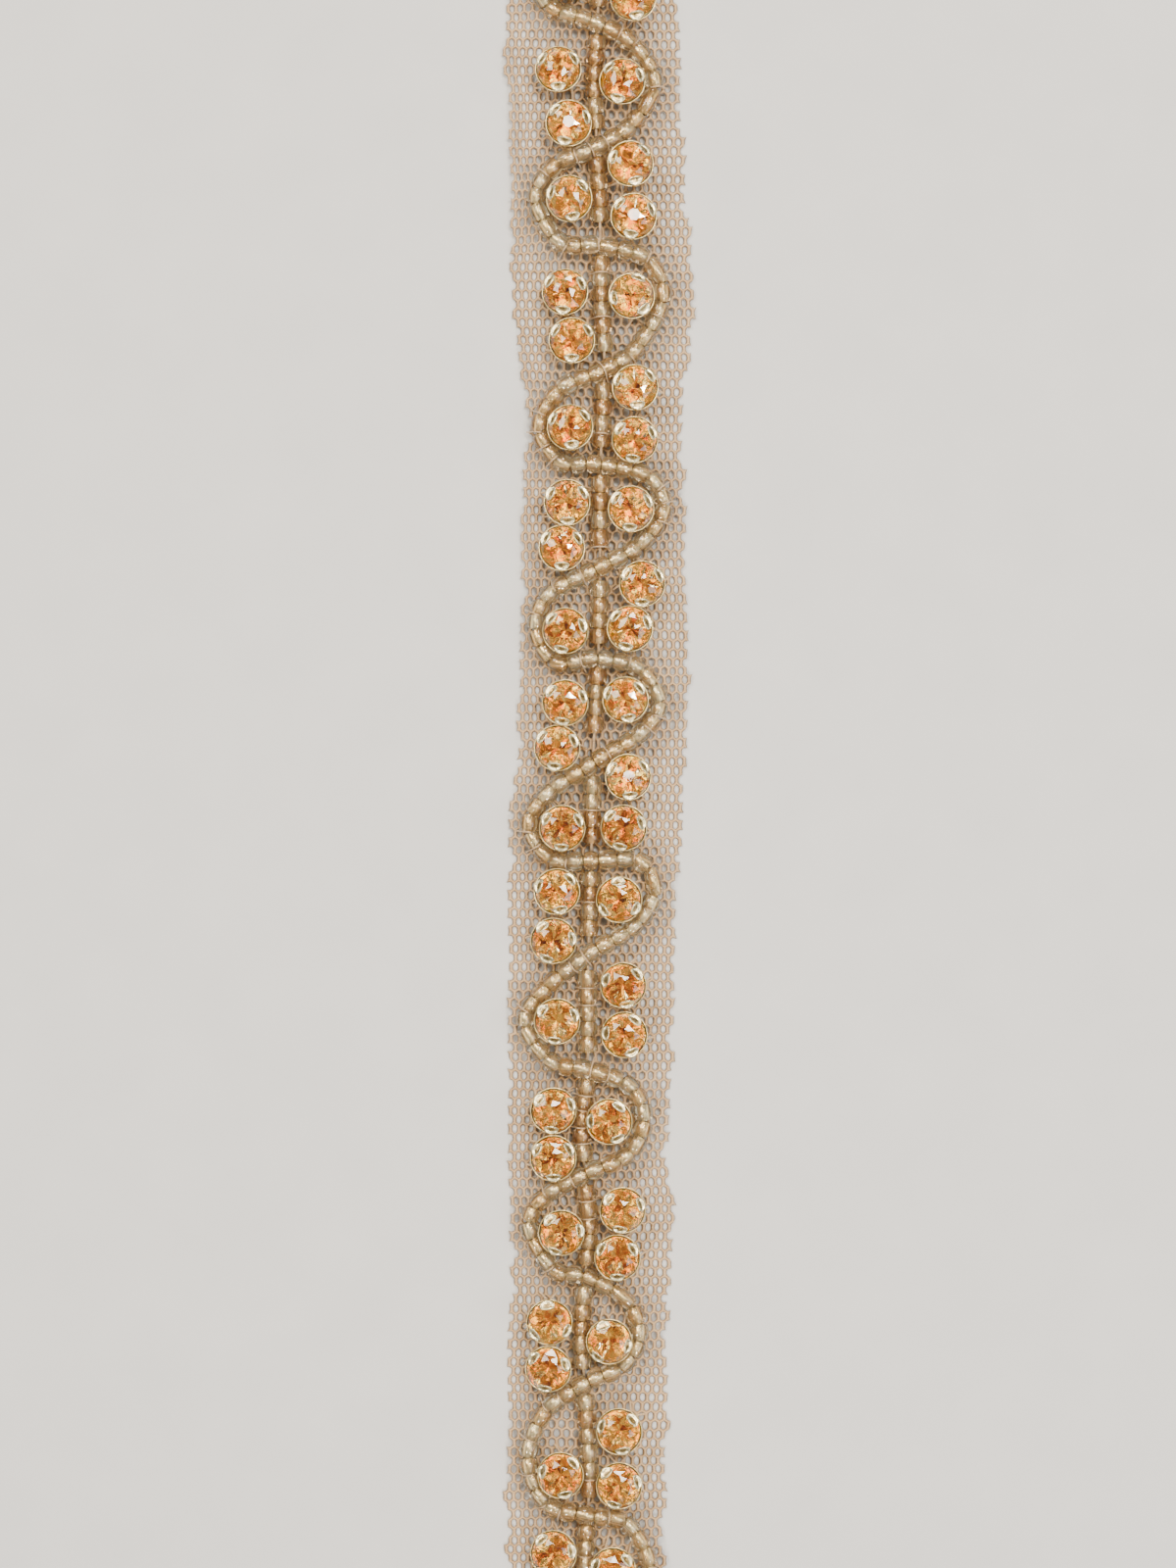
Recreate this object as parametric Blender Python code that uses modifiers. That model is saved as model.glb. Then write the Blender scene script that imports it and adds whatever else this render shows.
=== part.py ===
"""Crystal beaded trim: set crystals and rows of seed beads sewn on a cut length of net ribbon.

The trim lies flat with its face up. X runs across it, +Y along it towards its first end and
+Z up, and the origin is under the middle of its box, where the net rests. The tables are in
millimetres: a station is measured along the trim from its first end, and across is X.
"""

import math

import bmesh
import bpy
import numpy as np
from mathutils import Vector

MM = 0.001

# Driving dimensions, in millimetres
TRIM_LENGTH = 172.0
NET_THICKNESS = 1.0
NET_CURL_WIDTH = 1.3
SEWN_GAP = 0.3

BEAD_DIAMETER = 2.0
BEAD_PITCH = 1.68
BEAD_SHOULDER = 0.28
BEAD_NECK = 0.5
THREAD_DIAMETER = 0.44
CROSSING_HUMP = 0.8

STONE_BASE_RADIUS = 1.45
STONE_WAIST_RADIUS = 1.6
STONE_RIM_RADIUS = 2.2
STONE_CROWN_RADIUS = 1.95
STONE_TABLE_RADIUS = 1.2
STONE_WAIST_HEIGHT = 0.9
STONE_RIM_HEIGHT = 2.0
STONE_CROWN_HEIGHT = 2.35
STONE_HEIGHT = 3.0
STONE_SIDES = 12
CLAWS = 3
CLAW_OUTWARD = 0.2
CLAW_UPWARD = 0.2

# The room a spine bead keeps, from axis to axis
BEAD_TO_STONE = 2.83
BEAD_TO_BEAD = BEAD_DIAMETER + 0.14

BEAD_RADIUS = BEAD_DIAMETER / 2
SEWN_HEIGHT = NET_THICKNESS + SEWN_GAP
BEAD_AXIS_HEIGHT = SEWN_HEIGHT + BEAD_RADIUS
THREAD_AXIS_HEIGHT = SEWN_HEIGHT + THREAD_DIAMETER / 2

# The ribbon's uneven edges, a row for each station
NET_EDGES = (
    # station, left edge, right edge, left curl, right curl
    (0.0, -9.7, 8.0, 0.1, 0.0),
    (9.6, -9.8, 8.1, 0.3, 0.0),
    (17.6, -9.2, 8.3, 0.8, 0.0),
    (25.6, -9.2, 8.6, 0.9, 0.0),
    (33.6, -9.2, 9.8, 0.1, 0.2),
    (37.6, -8.7, 9.6, 0.1, 0.2),
    (45.6, -7.8, 8.5, 0.5, 0.0),
    (49.6, -7.4, 8.5, 0.5, 0.1),
    (57.6, -8.1, 8.6, 0.6, 0.1),
    (65.6, -8.0, 8.8, 0.4, 0.2),
    (73.6, -8.3, 9.0, 0.4, 0.2),
    (81.6, -8.5, 8.7, 0.3, 0.1),
    (89.6, -9.1, 8.5, 0.1, 0.0),
    (97.6, -9.4, 7.7, 0.0, 0.0),
    (105.6, -9.4, 7.5, 0.0, 0.1),
    (113.6, -9.4, 7.4, 0.0, 0.0),
    (121.6, -9.4, 7.0, 0.1, 0.0),
    (129.6, -9.1, 7.3, 0.2, 0.1),
    (137.6, -9.2, 7.0, 0.1, 0.0),
    (145.6, -9.4, 7.0, 0.0, 0.0),
    (153.6, -9.4, 6.7, 0.0, 0.1),
    (161.6, -9.6, 6.5, 0.1, 0.0),
    (172.0, -9.6, 6.4, 0.0, 0.0),
)

# The straight row of beads down the middle
SPINE_KNOTS = (
    # station, across
    (0.9, -0.2),
    (7.6, -0.2),
    (14.2, -0.55),
    (20.6, -0.3),
    (25.9, -0.05),
    (36.0, 0.2),
    (42.6, 0.45),
    (52.6, 0.1),
    (65.6, 0.0),
    (73.6, -0.2),
    (83.6, -0.7),
    (97.3, -0.95),
    (104.0, -1.2),
    (115.0, -1.25),
    (119.9, -1.8),
    (125.6, -1.5),
    (131.1, -1.1),
    (136.0, -1.5),
    (142.1, -1.9),
    (147.5, -1.5),
    (156.0, -1.05),
    (160.6, -1.3),
    (165.4, -1.5),
    (171.1, -1.2),
)

# The winding row swings right and left by turns, round a stone on either side
WINDING_START = (
    # station, across
    (1.2, -6.5),
    (3.4, -6.6),
    (6.3, -5.0),
)
WINDING_HALF_TURNS = (
    # station and across of the crossing, shoulder, turn and return
    ((7.9, -0.6), (10.1, 3.4), (14.1, 5.6), (18.3, 3.2)),
    ((20.8, -0.6), (22.5, -4.6), (26.0, -6.5), (30.3, -4.0)),
    ((30.7, 0.0), (32.0, 4.8), (35.9, 6.4), (41.1, 3.8)),
    ((43.4, 0.4), (45.3, -4.0), (49.2, -6.1), (52.7, -4.0)),
    ((53.0, -0.2), (54.2, 4.9), (57.6, 6.5), (61.2, 4.0)),
    ((63.6, -0.2), (66.1, -5.0), (69.6, -6.5), (73.1, -4.6)),
    ((72.8, -0.4), (73.8, 4.0), (77.4, 6.1), (80.7, 3.8)),
    ((83.4, -0.6), (86.5, -5.2), (89.8, -7.2), (93.2, -5.0)),
    ((93.4, -0.9), (93.4, 3.9), (96.4, 5.6), (100.0, 3.6)),
    ((102.7, -0.8), (106.2, -5.2), (109.8, -7.6), (113.9, -5.0)),
    ((114.7, -1.3), (116.4, 3.0), (119.8, 4.5), (123.4, 2.9)),
    ((125.3, -1.4), (127.7, -5.6), (130.8, -7.2), (135.2, -4.6)),
    ((135.8, -1.4), (138.2, 2.6), (141.6, 4.0), (144.9, 2.4)),
    ((146.6, -1.4), (149.7, -5.6), (154.4, -7.3), (159.0, -5.5)),
    ((160.1, -1.4), (161.1, 2.8), (165.6, 5.1), (169.1, 3.3)),
)

# The set stones of each side, in order along the trim, three to a repeat
LEFT_STONES = (
    # station, across, turn of the first claw in degrees
    (3.4, -3.2, 30),
    (13.0, -4.1, 30),
    (18.3, -3.25, 17),
    (25.9, -2.95, 42),
    (35.6, -3.35, 25),
    (40.6, -2.85, 30),
    (49.5, -2.9, 36),
    (56.9, -3.35, 32),
    (61.7, -3.9, 30),
    (69.9, -3.3, 18),
    (77.2, -3.6, 20),
    (82.0, -4.2, 23),
    (89.9, -3.75, 28),
    (96.7, -4.2, 42),
    (101.4, -4.75, 8),
    (109.6, -4.45, 22),
    (118.8, -4.9, 22),
    (123.7, -4.75, 31),
    (131.1, -3.95, 10),
    (140.2, -5.15, 97),
    (145.0, -5.05, 20),
    (156.0, -3.9, 45),
    (164.0, -4.6, 10),
    (168.8, -4.4, 35),
)
RIGHT_STONES = (
    # station, across, turn of the first claw in degrees
    (5.6, 3.45, 40),
    (14.2, 2.4, 16),
    (22.6, 2.95, 44),
    (27.8, 3.4, 20),
    (36.1, 3.15, 70),
    (45.4, 3.65, 37),
    (50.4, 3.5, 23),
    (57.6, 3.1, 25),
    (65.1, 4.2, 28),
    (69.9, 3.25, 18),
    (77.1, 2.7, 39),
    (85.0, 2.7, 34),
    (89.9, 2.5, 18),
    (97.3, 2.0, 93),
    (105.9, 2.4, 41),
    (111.2, 2.6, 54),
    (119.9, 1.05, 57),
    (128.9, 2.15, 20),
    (133.8, 1.9, 30),
    (142.1, 0.95, 110),
    (151.6, 2.15, 42),
    (157.1, 1.9, 14),
    (165.4, 1.35, 40),
)

# The finishes seen on the real trim
FINISHES = {
    # name: colour, roughness, metallic
    "nude_net": ((0.66, 0.50, 0.38), 0.75, 0.0),
    "spine_glass": ((0.62, 0.50, 0.30), 0.18, 0.0),
    "winding_glass": ((0.66, 0.54, 0.36), 0.18, 0.0),
    "peach_crystal": ((0.85, 0.42, 0.18), 0.08, 0.0),
}


def clear_scene():
    for item in list(bpy.data.objects):
        bpy.data.objects.remove(item, do_unlink=True)


def trim_collection():
    collection = bpy.data.collections.new("crystal_beaded_trim")
    bpy.context.scene.collection.children.link(collection)
    return collection


def finish(name):
    """A Principled material with one of the trim's finishes."""
    colour, roughness, metallic = FINISHES[name]
    material = bpy.data.materials.new(name)
    material.use_nodes = True
    shader = material.node_tree.nodes["Principled BSDF"]
    shader.inputs["Base Color"].default_value = (*colour, 1.0)
    shader.inputs["Roughness"].default_value = roughness
    shader.inputs["Metallic"].default_value = metallic
    return material


def on_trim(station, across, height=0.0):
    """A point given along, across and above the trim, as metres in the model's frame."""
    return Vector((across, TRIM_LENGTH / 2 - station, height)) * MM


def net_ribbon(collection):
    """The ribbon as one sheet: its edges wander and its borders curl up a little."""
    rows = len(NET_EDGES)
    columns = 7
    sheet = bmesh.new()
    bmesh.ops.create_grid(sheet, x_segments=columns - 1, y_segments=rows - 1, size=0.5)
    for point in sheet.verts:
        row = round((0.5 - point.co.y) * (rows - 1))
        column = round((point.co.x + 0.5) * (columns - 1))
        station, left, right, left_curl, right_curl = NET_EDGES[row]
        inner_left = left + NET_CURL_WIDTH
        inner_right = right - NET_CURL_WIDTH
        inner_share = min(max((column - 1) / (columns - 3), 0.0), 1.0)
        across = inner_left + (inner_right - inner_left) * inner_share
        curl = 0.0
        if column == 0:
            across, curl = left, left_curl
        if column == columns - 1:
            across, curl = right, right_curl
        point.co = on_trim(station, across, curl)
    mesh = bpy.data.meshes.new("net_ribbon")
    sheet.to_mesh(mesh)
    sheet.free()
    ribbon = bpy.data.objects.new("net_ribbon", mesh)
    collection.objects.link(ribbon)
    thickness = ribbon.modifiers.new("thickness", "SOLIDIFY")
    thickness.thickness = NET_THICKNESS * MM
    thickness.offset = 1.0
    mesh.materials.append(finish("nude_net"))


def smooth_route(knots, samples=16):
    """Close points along the Catmull-Rom curve through the knots."""
    knots = [np.array(knot, float) for knot in knots]
    first = 2 * knots[0] - knots[1]
    last = 2 * knots[-1] - knots[-2]
    padded = [first, *knots, last]
    route = []
    for before, start, end, after in zip(padded, padded[1:], padded[2:], padded[3:]):
        for t in np.arange(samples) / samples:
            straight = 2 * start + (end - before) * t
            bend = (2 * before - 5 * start + 4 * end - after) * t**2
            swing = (3 * start - before - 3 * end + after) * t**3
            route.append((straight + bend + swing) / 2)
    route.append(knots[-1])
    return np.array(route)


def runs_along(route):
    """How far along the route each of its points lies."""
    steps = np.linalg.norm(np.diff(route, axis=0), axis=1)
    return np.concatenate([[0.0], np.cumsum(steps)])


def point_on(route, runs, run):
    return np.array([np.interp(run, runs, route[:, axis]) for axis in range(3)])


def winding_route():
    """The winding row's axis as station, across and height: it rises over the spine's thread."""
    knots = [(*knot, BEAD_AXIS_HEIGHT) for knot in WINDING_START]
    for crossing, *others in WINDING_HALF_TURNS:
        knots.append((*crossing, BEAD_AXIS_HEIGHT + CROSSING_HUMP))
        knots += [(*knot, BEAD_AXIS_HEIGHT) for knot in others]
    route = smooth_route(knots)
    route[:, 2] = np.maximum(route[:, 2], BEAD_AXIS_HEIGHT)
    return route


def even_beads(start, end):
    """Bead centres from start to end, as many as fit at the bead pitch, evenly spaced."""
    gaps = max(int((end - start) / BEAD_PITCH), 0)
    if gaps == 0:
        return [(start + end) / 2]
    return list(np.linspace(start, end, gaps + 1))


def spine_bead_groups(route, runs, winding):
    """Groups of bead centres on the spine, in the stretches that no stone or crossing fills."""
    stones = np.array([stone[:2] for stone in LEFT_STONES + RIGHT_STONES])
    reach = BEAD_PITCH * BEAD_SHOULDER
    first = runs[0] + BEAD_PITCH / 2
    last = runs[-1] - BEAD_PITCH / 2
    free = []
    groups = []
    for run in np.arange(first, last, 0.02):
        centre = point_on(route, runs, run)
        to_stones = np.linalg.norm(stones - centre[:2], axis=1).min()
        to_winding = min(
            np.linalg.norm(winding - point_on(route, runs, run + side), axis=1).min()
            for side in (-reach, reach)
        )
        if to_stones >= BEAD_TO_STONE and to_winding >= BEAD_TO_BEAD:
            free.append(run)
        elif free:
            groups.append(even_beads(free[0], free[-1]))
            free = []
    if free:
        groups.append(even_beads(free[0], free[-1]))
    return groups


def beaded_profile(beads):
    """Where one group's rings stand on its route, and each ring's share of the bead radius."""
    profile = [(beads[0] - BEAD_PITCH / 2, BEAD_NECK)]
    for index, bead in enumerate(beads):
        profile.append((bead - BEAD_PITCH * BEAD_SHOULDER, 1.0))
        profile.append((bead + BEAD_PITCH * BEAD_SHOULDER, 1.0))
        if index + 1 < len(beads):
            profile.append(((bead + beads[index + 1]) / 2, BEAD_NECK))
    profile.append((beads[-1] + BEAD_PITCH / 2, BEAD_NECK))
    return profile


def beaded_string(name, rings, material, collection):
    """A six-sided tube through the rings, thick at each bead and thin at each neck."""
    curve = bpy.data.curves.new(name, "CURVE")
    curve.dimensions = "3D"
    curve.twist_mode = "Z_UP"
    curve.bevel_depth = BEAD_RADIUS * MM
    curve.bevel_resolution = 1
    curve.use_fill_caps = True
    spline = curve.splines.new("POLY")
    spline.points.add(len(rings) - 1)
    for point, (centre, share) in zip(spline.points, rings):
        point.co = (*on_trim(*centre), 1.0)
        point.radius = share
    curve.materials.append(finish(material))
    string = bpy.data.objects.new(name, curve)
    collection.objects.link(string)


def spine_string(winding, collection):
    """The middle row: groups of beads on a thread that drops under each crossing."""
    route = smooth_route([(*knot, BEAD_AXIS_HEIGHT) for knot in SPINE_KNOTS])
    runs = runs_along(route)
    thread_share = THREAD_DIAMETER / BEAD_DIAMETER
    drop = BEAD_AXIS_HEIGHT - THREAD_AXIS_HEIGHT
    rings = []
    bead_count = 0
    last_run = 0.0
    for beads in spine_bead_groups(route, runs, winding):
        profile = beaded_profile(beads)
        if rings:
            stretch = profile[0][0] - last_run
            fall = drop if stretch > BEAD_RADIUS else 0.0
            for share in (0.3, 0.7):
                centre = point_on(route, runs, last_run + stretch * share)
                centre[2] -= fall
                rings.append((centre, thread_share))
        for run, share in profile:
            rings.append((point_on(route, runs, run), share))
        last_run = profile[-1][0]
        bead_count += len(beads)
    beaded_string("spine_beads", rings, "spine_glass", collection)
    return bead_count


def winding_string(route, collection):
    """The winding row: beads all the way, side by side over the net and humped over the spine."""
    runs = runs_along(route)
    beads = even_beads(BEAD_PITCH / 2, runs[-1] - BEAD_PITCH / 2)
    rings = [(point_on(route, runs, run), share) for run, share in beaded_profile(beads)]
    beaded_string("winding_beads", rings, "winding_glass", collection)
    return len(beads)


def set_stone_mesh():
    """A faceted crystal in its cup, turned in one profile, with three claws raised over its rim."""
    profile = (
        (0.0, 0.0),
        (STONE_BASE_RADIUS, 0.0),
        (STONE_WAIST_RADIUS, STONE_WAIST_HEIGHT),
        (STONE_RIM_RADIUS, STONE_RIM_HEIGHT),
        (STONE_CROWN_RADIUS, STONE_CROWN_HEIGHT),
        (STONE_TABLE_RADIUS, STONE_HEIGHT),
        (0.0, STONE_HEIGHT),
    )
    stone = bmesh.new()
    points = [stone.verts.new(Vector((radius, 0.0, height)) * MM) for radius, height in profile]
    edges = [stone.edges.new(pair) for pair in zip(points, points[1:])]
    bmesh.ops.spin(
        stone,
        geom=points + edges,
        cent=(0.0, 0.0, 0.0),
        axis=(0.0, 0.0, 1.0),
        angle=2 * math.pi,
        steps=STONE_SIDES,
        use_merge=True,
    )
    bmesh.ops.remove_doubles(stone, verts=stone.verts, dist=0.001 * MM)
    claw_step = 2 * math.pi / CLAWS
    for point in stone.verts:
        radius = math.hypot(point.co.x, point.co.y)
        if radius < (STONE_TABLE_RADIUS + 0.1) * MM or point.co.z < (STONE_RIM_HEIGHT - 0.1) * MM:
            continue
        angle = math.atan2(point.co.y, point.co.x)
        if abs(angle / claw_step - round(angle / claw_step)) > 0.01:
            continue
        outward = Vector((point.co.x, point.co.y, 0.0)).normalized()
        point.co += outward * CLAW_OUTWARD * MM
        point.co.z += CLAW_UPWARD * MM
    bmesh.ops.recalc_face_normals(stone, faces=stone.faces)
    mesh = bpy.data.meshes.new("set_stone")
    stone.to_mesh(mesh)
    stone.free()
    mesh.materials.append(finish("peach_crystal"))
    return mesh


def set_stones(collection):
    """Each set stone is a piece of its own, sewn at its station and turned as it was sewn."""
    mesh = set_stone_mesh()
    for side, stones in (("left", LEFT_STONES), ("right", RIGHT_STONES)):
        for number, (station, across, turn) in enumerate(stones, 1):
            stone = bpy.data.objects.new(f"stone_{side}_{number:02d}", mesh)
            stone.location = on_trim(station, across, SEWN_HEIGHT)
            stone.rotation_euler = (0.0, 0.0, math.radians(turn))
            collection.objects.link(stone)
    return len(LEFT_STONES) + len(RIGHT_STONES)


def main():
    clear_scene()
    collection = trim_collection()
    net_ribbon(collection)
    winding = winding_route()
    spine_count = spine_string(winding, collection)
    winding_count = winding_string(winding, collection)
    stone_count = set_stones(collection)
    print(f"{spine_count} spine beads, {winding_count} winding beads, {stone_count} set stones")


main()
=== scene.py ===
# %% [markdown]
# A crystal beaded trim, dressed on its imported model. The real trim is a strip of nude net with
# three things sewn on it: a straight row of seed beads, a winding row that crosses it, and round
# crystals in clawed cups on both sides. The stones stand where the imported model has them, and
# the rows follow the knots that it was built from, so nothing is placed by eye here. Each step
# adds one material or one piece.

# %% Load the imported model
import math
import random

import bmesh
import bpy
import numpy as np
from mathutils import Matrix, Vector, kdtree, noise


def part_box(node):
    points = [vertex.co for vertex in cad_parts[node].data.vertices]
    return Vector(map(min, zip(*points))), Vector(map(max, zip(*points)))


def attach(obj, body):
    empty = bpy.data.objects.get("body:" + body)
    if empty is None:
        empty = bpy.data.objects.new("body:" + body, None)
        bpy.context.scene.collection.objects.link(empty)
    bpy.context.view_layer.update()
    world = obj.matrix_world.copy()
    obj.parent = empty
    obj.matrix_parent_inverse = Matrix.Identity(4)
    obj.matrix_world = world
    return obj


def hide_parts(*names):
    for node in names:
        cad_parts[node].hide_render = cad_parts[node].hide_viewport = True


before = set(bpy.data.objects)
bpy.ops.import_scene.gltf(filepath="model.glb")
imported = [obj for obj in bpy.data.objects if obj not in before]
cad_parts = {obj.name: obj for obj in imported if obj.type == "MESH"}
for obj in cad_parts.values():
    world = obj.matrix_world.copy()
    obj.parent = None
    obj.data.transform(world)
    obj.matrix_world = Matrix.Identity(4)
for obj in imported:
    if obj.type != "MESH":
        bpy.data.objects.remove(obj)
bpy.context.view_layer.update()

MM = 0.001

# %% [markdown]
# The net is thin, but its middle stands clear of the table, because the sewing threads run to
# and fro on its back. The heights here are the few that everything else is worked out from: the
# net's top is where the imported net's top is, and beads and cups rest on it.

# %% Name the heights
NET_TOP = 1.0 * MM
STONE_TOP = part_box("stone_left_01")[1].z
BEAD_RADIUS = 1.0 * MM
BEAD_AXIS = NET_TOP + BEAD_RADIUS
CROSSING_HUMP = 0.55 * MM
print("stones stand", round((STONE_TOP - NET_TOP) / MM, 2), "mm above the net")

# %% [markdown]
# A set stone is a crystal in a cup, and each was sewn on by hand, so each has its own turn. The
# places could be typed in again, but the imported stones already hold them: the middle of a
# stone's flat top is its centre, and its claws are its farthest corners.

# %% Read each stone's place and turn
LEVEL_BAND = 0.05 * MM


def stone_place(node):
    """The stone's centre across and along the trim, and the angle of its first claw."""
    points = np.array([v.co for v in node.data.vertices])
    table = points[points[:, 2] > points[:, 2].max() - LEVEL_BAND, :2]
    centre = (table.min(axis=0) + table.max(axis=0)) / 2
    arms = points[:, :2] - centre
    farthest = arms[np.linalg.norm(arms, axis=1).argmax()]
    return Vector((*centre, 0.0)), math.atan2(farthest[1], farthest[0])


stone_nodes = sorted(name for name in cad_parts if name.startswith("stone_"))
STONES = [stone_place(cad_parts[name]) for name in stone_nodes]
print(len(STONES), "set stones read from the packed model")

# %% [markdown]
# The two bead rows are threads with beads on them, so each is a route first. Their knots are
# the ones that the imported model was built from. A Catmull-Rom curve passes through all of its
# knots, so each can be read straight off the real row, and a Bezier's handles can't.

# %% Lay out the two routes
TRIM_LENGTH = 172.0
SPINE_KNOTS = (
    # station along the trim and distance across it, in millimetres
    (0.9, -0.2), (7.6, -0.2), (14.2, -0.55), (20.6, -0.3), (25.9, -0.05), (36.0, 0.2),
    (42.6, 0.45), (52.6, 0.1), (65.6, 0.0), (73.6, -0.2), (83.6, -0.7), (97.3, -0.95),
    (104.0, -1.2), (115.0, -1.25), (119.9, -1.8), (125.6, -1.5), (131.1, -1.1), (136.0, -1.5),
    (142.1, -1.9), (147.5, -1.5), (156.0, -1.05), (160.6, -1.3), (165.4, -1.5), (171.1, -1.2),
)
WINDING_START = ((1.2, -6.5), (3.4, -6.6), (6.3, -5.0))
WINDING_HALF_TURNS = (
    # station and across of the crossing, shoulder, turn and return
    ((7.9, -0.6), (10.1, 3.4), (14.1, 5.6), (18.3, 3.2)),
    ((20.8, -0.6), (22.5, -4.6), (26.0, -6.5), (30.3, -4.0)),
    ((30.7, 0.0), (32.0, 4.8), (35.9, 6.4), (41.1, 3.8)),
    ((43.4, 0.4), (45.3, -4.0), (49.2, -6.1), (52.7, -4.0)),
    ((53.0, -0.2), (54.2, 4.9), (57.6, 6.5), (61.2, 4.0)),
    ((63.6, -0.2), (66.1, -5.0), (69.6, -6.5), (73.1, -4.6)),
    ((72.8, -0.4), (73.8, 4.0), (77.4, 6.1), (80.7, 3.8)),
    ((83.4, -0.6), (86.5, -5.2), (89.8, -7.2), (93.2, -5.0)),
    ((93.4, -0.9), (93.4, 3.9), (96.4, 5.6), (100.0, 3.6)),
    ((102.7, -0.8), (106.2, -5.2), (109.8, -7.6), (113.9, -5.0)),
    ((114.7, -1.3), (116.4, 3.0), (119.8, 4.5), (123.4, 2.9)),
    ((125.3, -1.4), (127.7, -5.6), (130.8, -7.2), (135.2, -4.6)),
    ((135.8, -1.4), (138.2, 2.6), (141.6, 4.0), (144.9, 2.4)),
    ((146.6, -1.4), (149.7, -5.6), (154.4, -7.3), (159.0, -5.5)),
    ((160.1, -1.4), (161.1, 2.8), (165.6, 5.1), (169.1, 3.3)),
)


def on_trim(station, across, height=0.0):
    """A point given in millimetres along, across and above the trim, in the model's frame."""
    return np.array((across, TRIM_LENGTH / 2 - station, height)) * MM


class Route:
    """A smooth line through knots, walked by its length."""

    def __init__(self, knots, samples=16):
        padded = [2 * knots[0] - knots[1], *knots, 2 * knots[-1] - knots[-2]]
        points = []
        for before, start, end, after in zip(padded, padded[1:], padded[2:], padded[3:]):
            for t in np.arange(samples) / samples:
                bend = (2 * before - 5 * start + 4 * end - after) * t**2
                swing = (3 * start - before - 3 * end + after) * t**3
                points.append((2 * start + (end - before) * t + bend + swing) / 2)
        self.points = np.array([*points, knots[-1]])
        steps = np.linalg.norm(np.diff(self.points, axis=0), axis=1)
        self.runs = np.concatenate([[0.0], np.cumsum(steps)])
        self.length = self.runs[-1]

    def at(self, run):
        return np.array([np.interp(run, self.runs, column) for column in self.points.T])

    def heading(self, run, reach=0.3 * MM):
        ahead, behind = self.at(run + reach), self.at(run - reach)
        return (ahead - behind) / np.linalg.norm(ahead - behind)


lift = BEAD_AXIS / MM
hump = CROSSING_HUMP / MM
winding_knots = [on_trim(*knot, lift) for knot in WINDING_START]
for crossing, *others in WINDING_HALF_TURNS:
    winding_knots.append(on_trim(*crossing, lift + hump))
    winding_knots += [on_trim(*knot, lift) for knot in others]
winding = Route(winding_knots)
winding.points[:, 2] = np.maximum(winding.points[:, 2], BEAD_AXIS)
spine = Route([on_trim(*knot, lift) for knot in SPINE_KNOTS])
print("winding row", round(winding.length / MM), "mm, spine", round(spine.length / MM), "mm")

# %% [markdown]
# Seed beads from one hank vary in length, and a few are nearly twice as long as the rest.
# Threading them one after another with their own lengths gives the real row's uneven rhythm,
# which an even array of copies can't. The spine leaves room where the winding row crosses it
# and where a stone sits on it.

# %% Thread the beads on both rows
SHORTEST_BEAD = 1.4 * MM
LONGEST_BEAD = 1.85 * MM
BEAD_SWELL = (0.96, 1.03)
BUGLE_LENGTH = 2.9 * MM
BUGLE_RADIUS = 0.86 * BEAD_RADIUS
BUGLE_REACH = 0.9 * MM
BUGLE_PLACES = (
    # station along the trim and distance across it, in millimetres
    (32.6, 5.2), (94.2, 4.6), (14.6, 5.6), (137.0, 0.6),
)
THREAD_SLACK = 0.05 * MM
SEARCH_STEP = 0.1 * MM
bugles = [on_trim(*place) for place in BUGLE_PLACES]
bead_luck = random.Random(11)


def threaded(route, keep=lambda centre: True):
    """(centre, heading, length, radius) of each bead along a route, skipping what keep refuses."""
    beads = []
    run = THREAD_SLACK
    while run < route.length - LONGEST_BEAD:
        length = bead_luck.uniform(SHORTEST_BEAD, LONGEST_BEAD)
        radius = BEAD_RADIUS * bead_luck.uniform(*BEAD_SWELL)
        place = route.at(run)
        if any(np.linalg.norm(place[:2] - bugle[:2]) < BUGLE_REACH for bugle in bugles):
            length, radius = BUGLE_LENGTH, BUGLE_RADIUS
        centre = route.at(run + length / 2)
        if keep(centre):
            beads.append((centre, route.heading(run + length / 2), length, radius))
            run += length + THREAD_SLACK
        else:
            run += SEARCH_STEP
    return beads


CROSSING_ROOM = 1.85 * MM
STONE_ROOM = 2.6 * MM
winding_beads = threaded(winding)
crossing_centres = np.array([bead[0] for bead in winding_beads])
stone_centres = np.array([centre for centre, turn in STONES])


def clear_of_rest(centre):
    """Whether a spine bead here would stay clear of the winding row and of the stones."""
    to_winding = np.linalg.norm(crossing_centres[:, :2] - centre[:2], axis=1).min()
    to_stones = np.linalg.norm(stone_centres[:, :2] - centre[:2], axis=1).min()
    return to_winding > CROSSING_ROOM and to_stones > STONE_ROOM


spine_beads = threaded(spine, clear_of_rest)
print(len(winding_beads), "winding beads,", len(spine_beads), "spine beads")

# %% [markdown]
# Blender shades a surface with a graph of nodes, and maths in it takes one Math node for each
# sign. Writing the sums as Python is easier to read, so this small class wraps one socket and
# overloads the two operators that the finishes use. The one method named node adds every other
# kind of node.

# %% A finish whose maths is written as Python
class Value:
    """A socket that Python's operators do maths on, each adding one Math node."""

    def __init__(self, finish, socket):
        self.finish = finish
        self.socket = socket

    def maths(self, operation, *operands):
        """One Math node of this kind, fed with the operands in turn."""
        sockets = dict(enumerate(operands))
        return self.finish.node("ShaderNodeMath", {"operation": operation}, sockets)

    def __add__(self, other):
        return self.maths("ADD", self, other)

    def __mul__(self, other):
        return self.maths("MULTIPLY", self, other)

    __radd__ = __add__
    __rmul__ = __mul__


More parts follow.
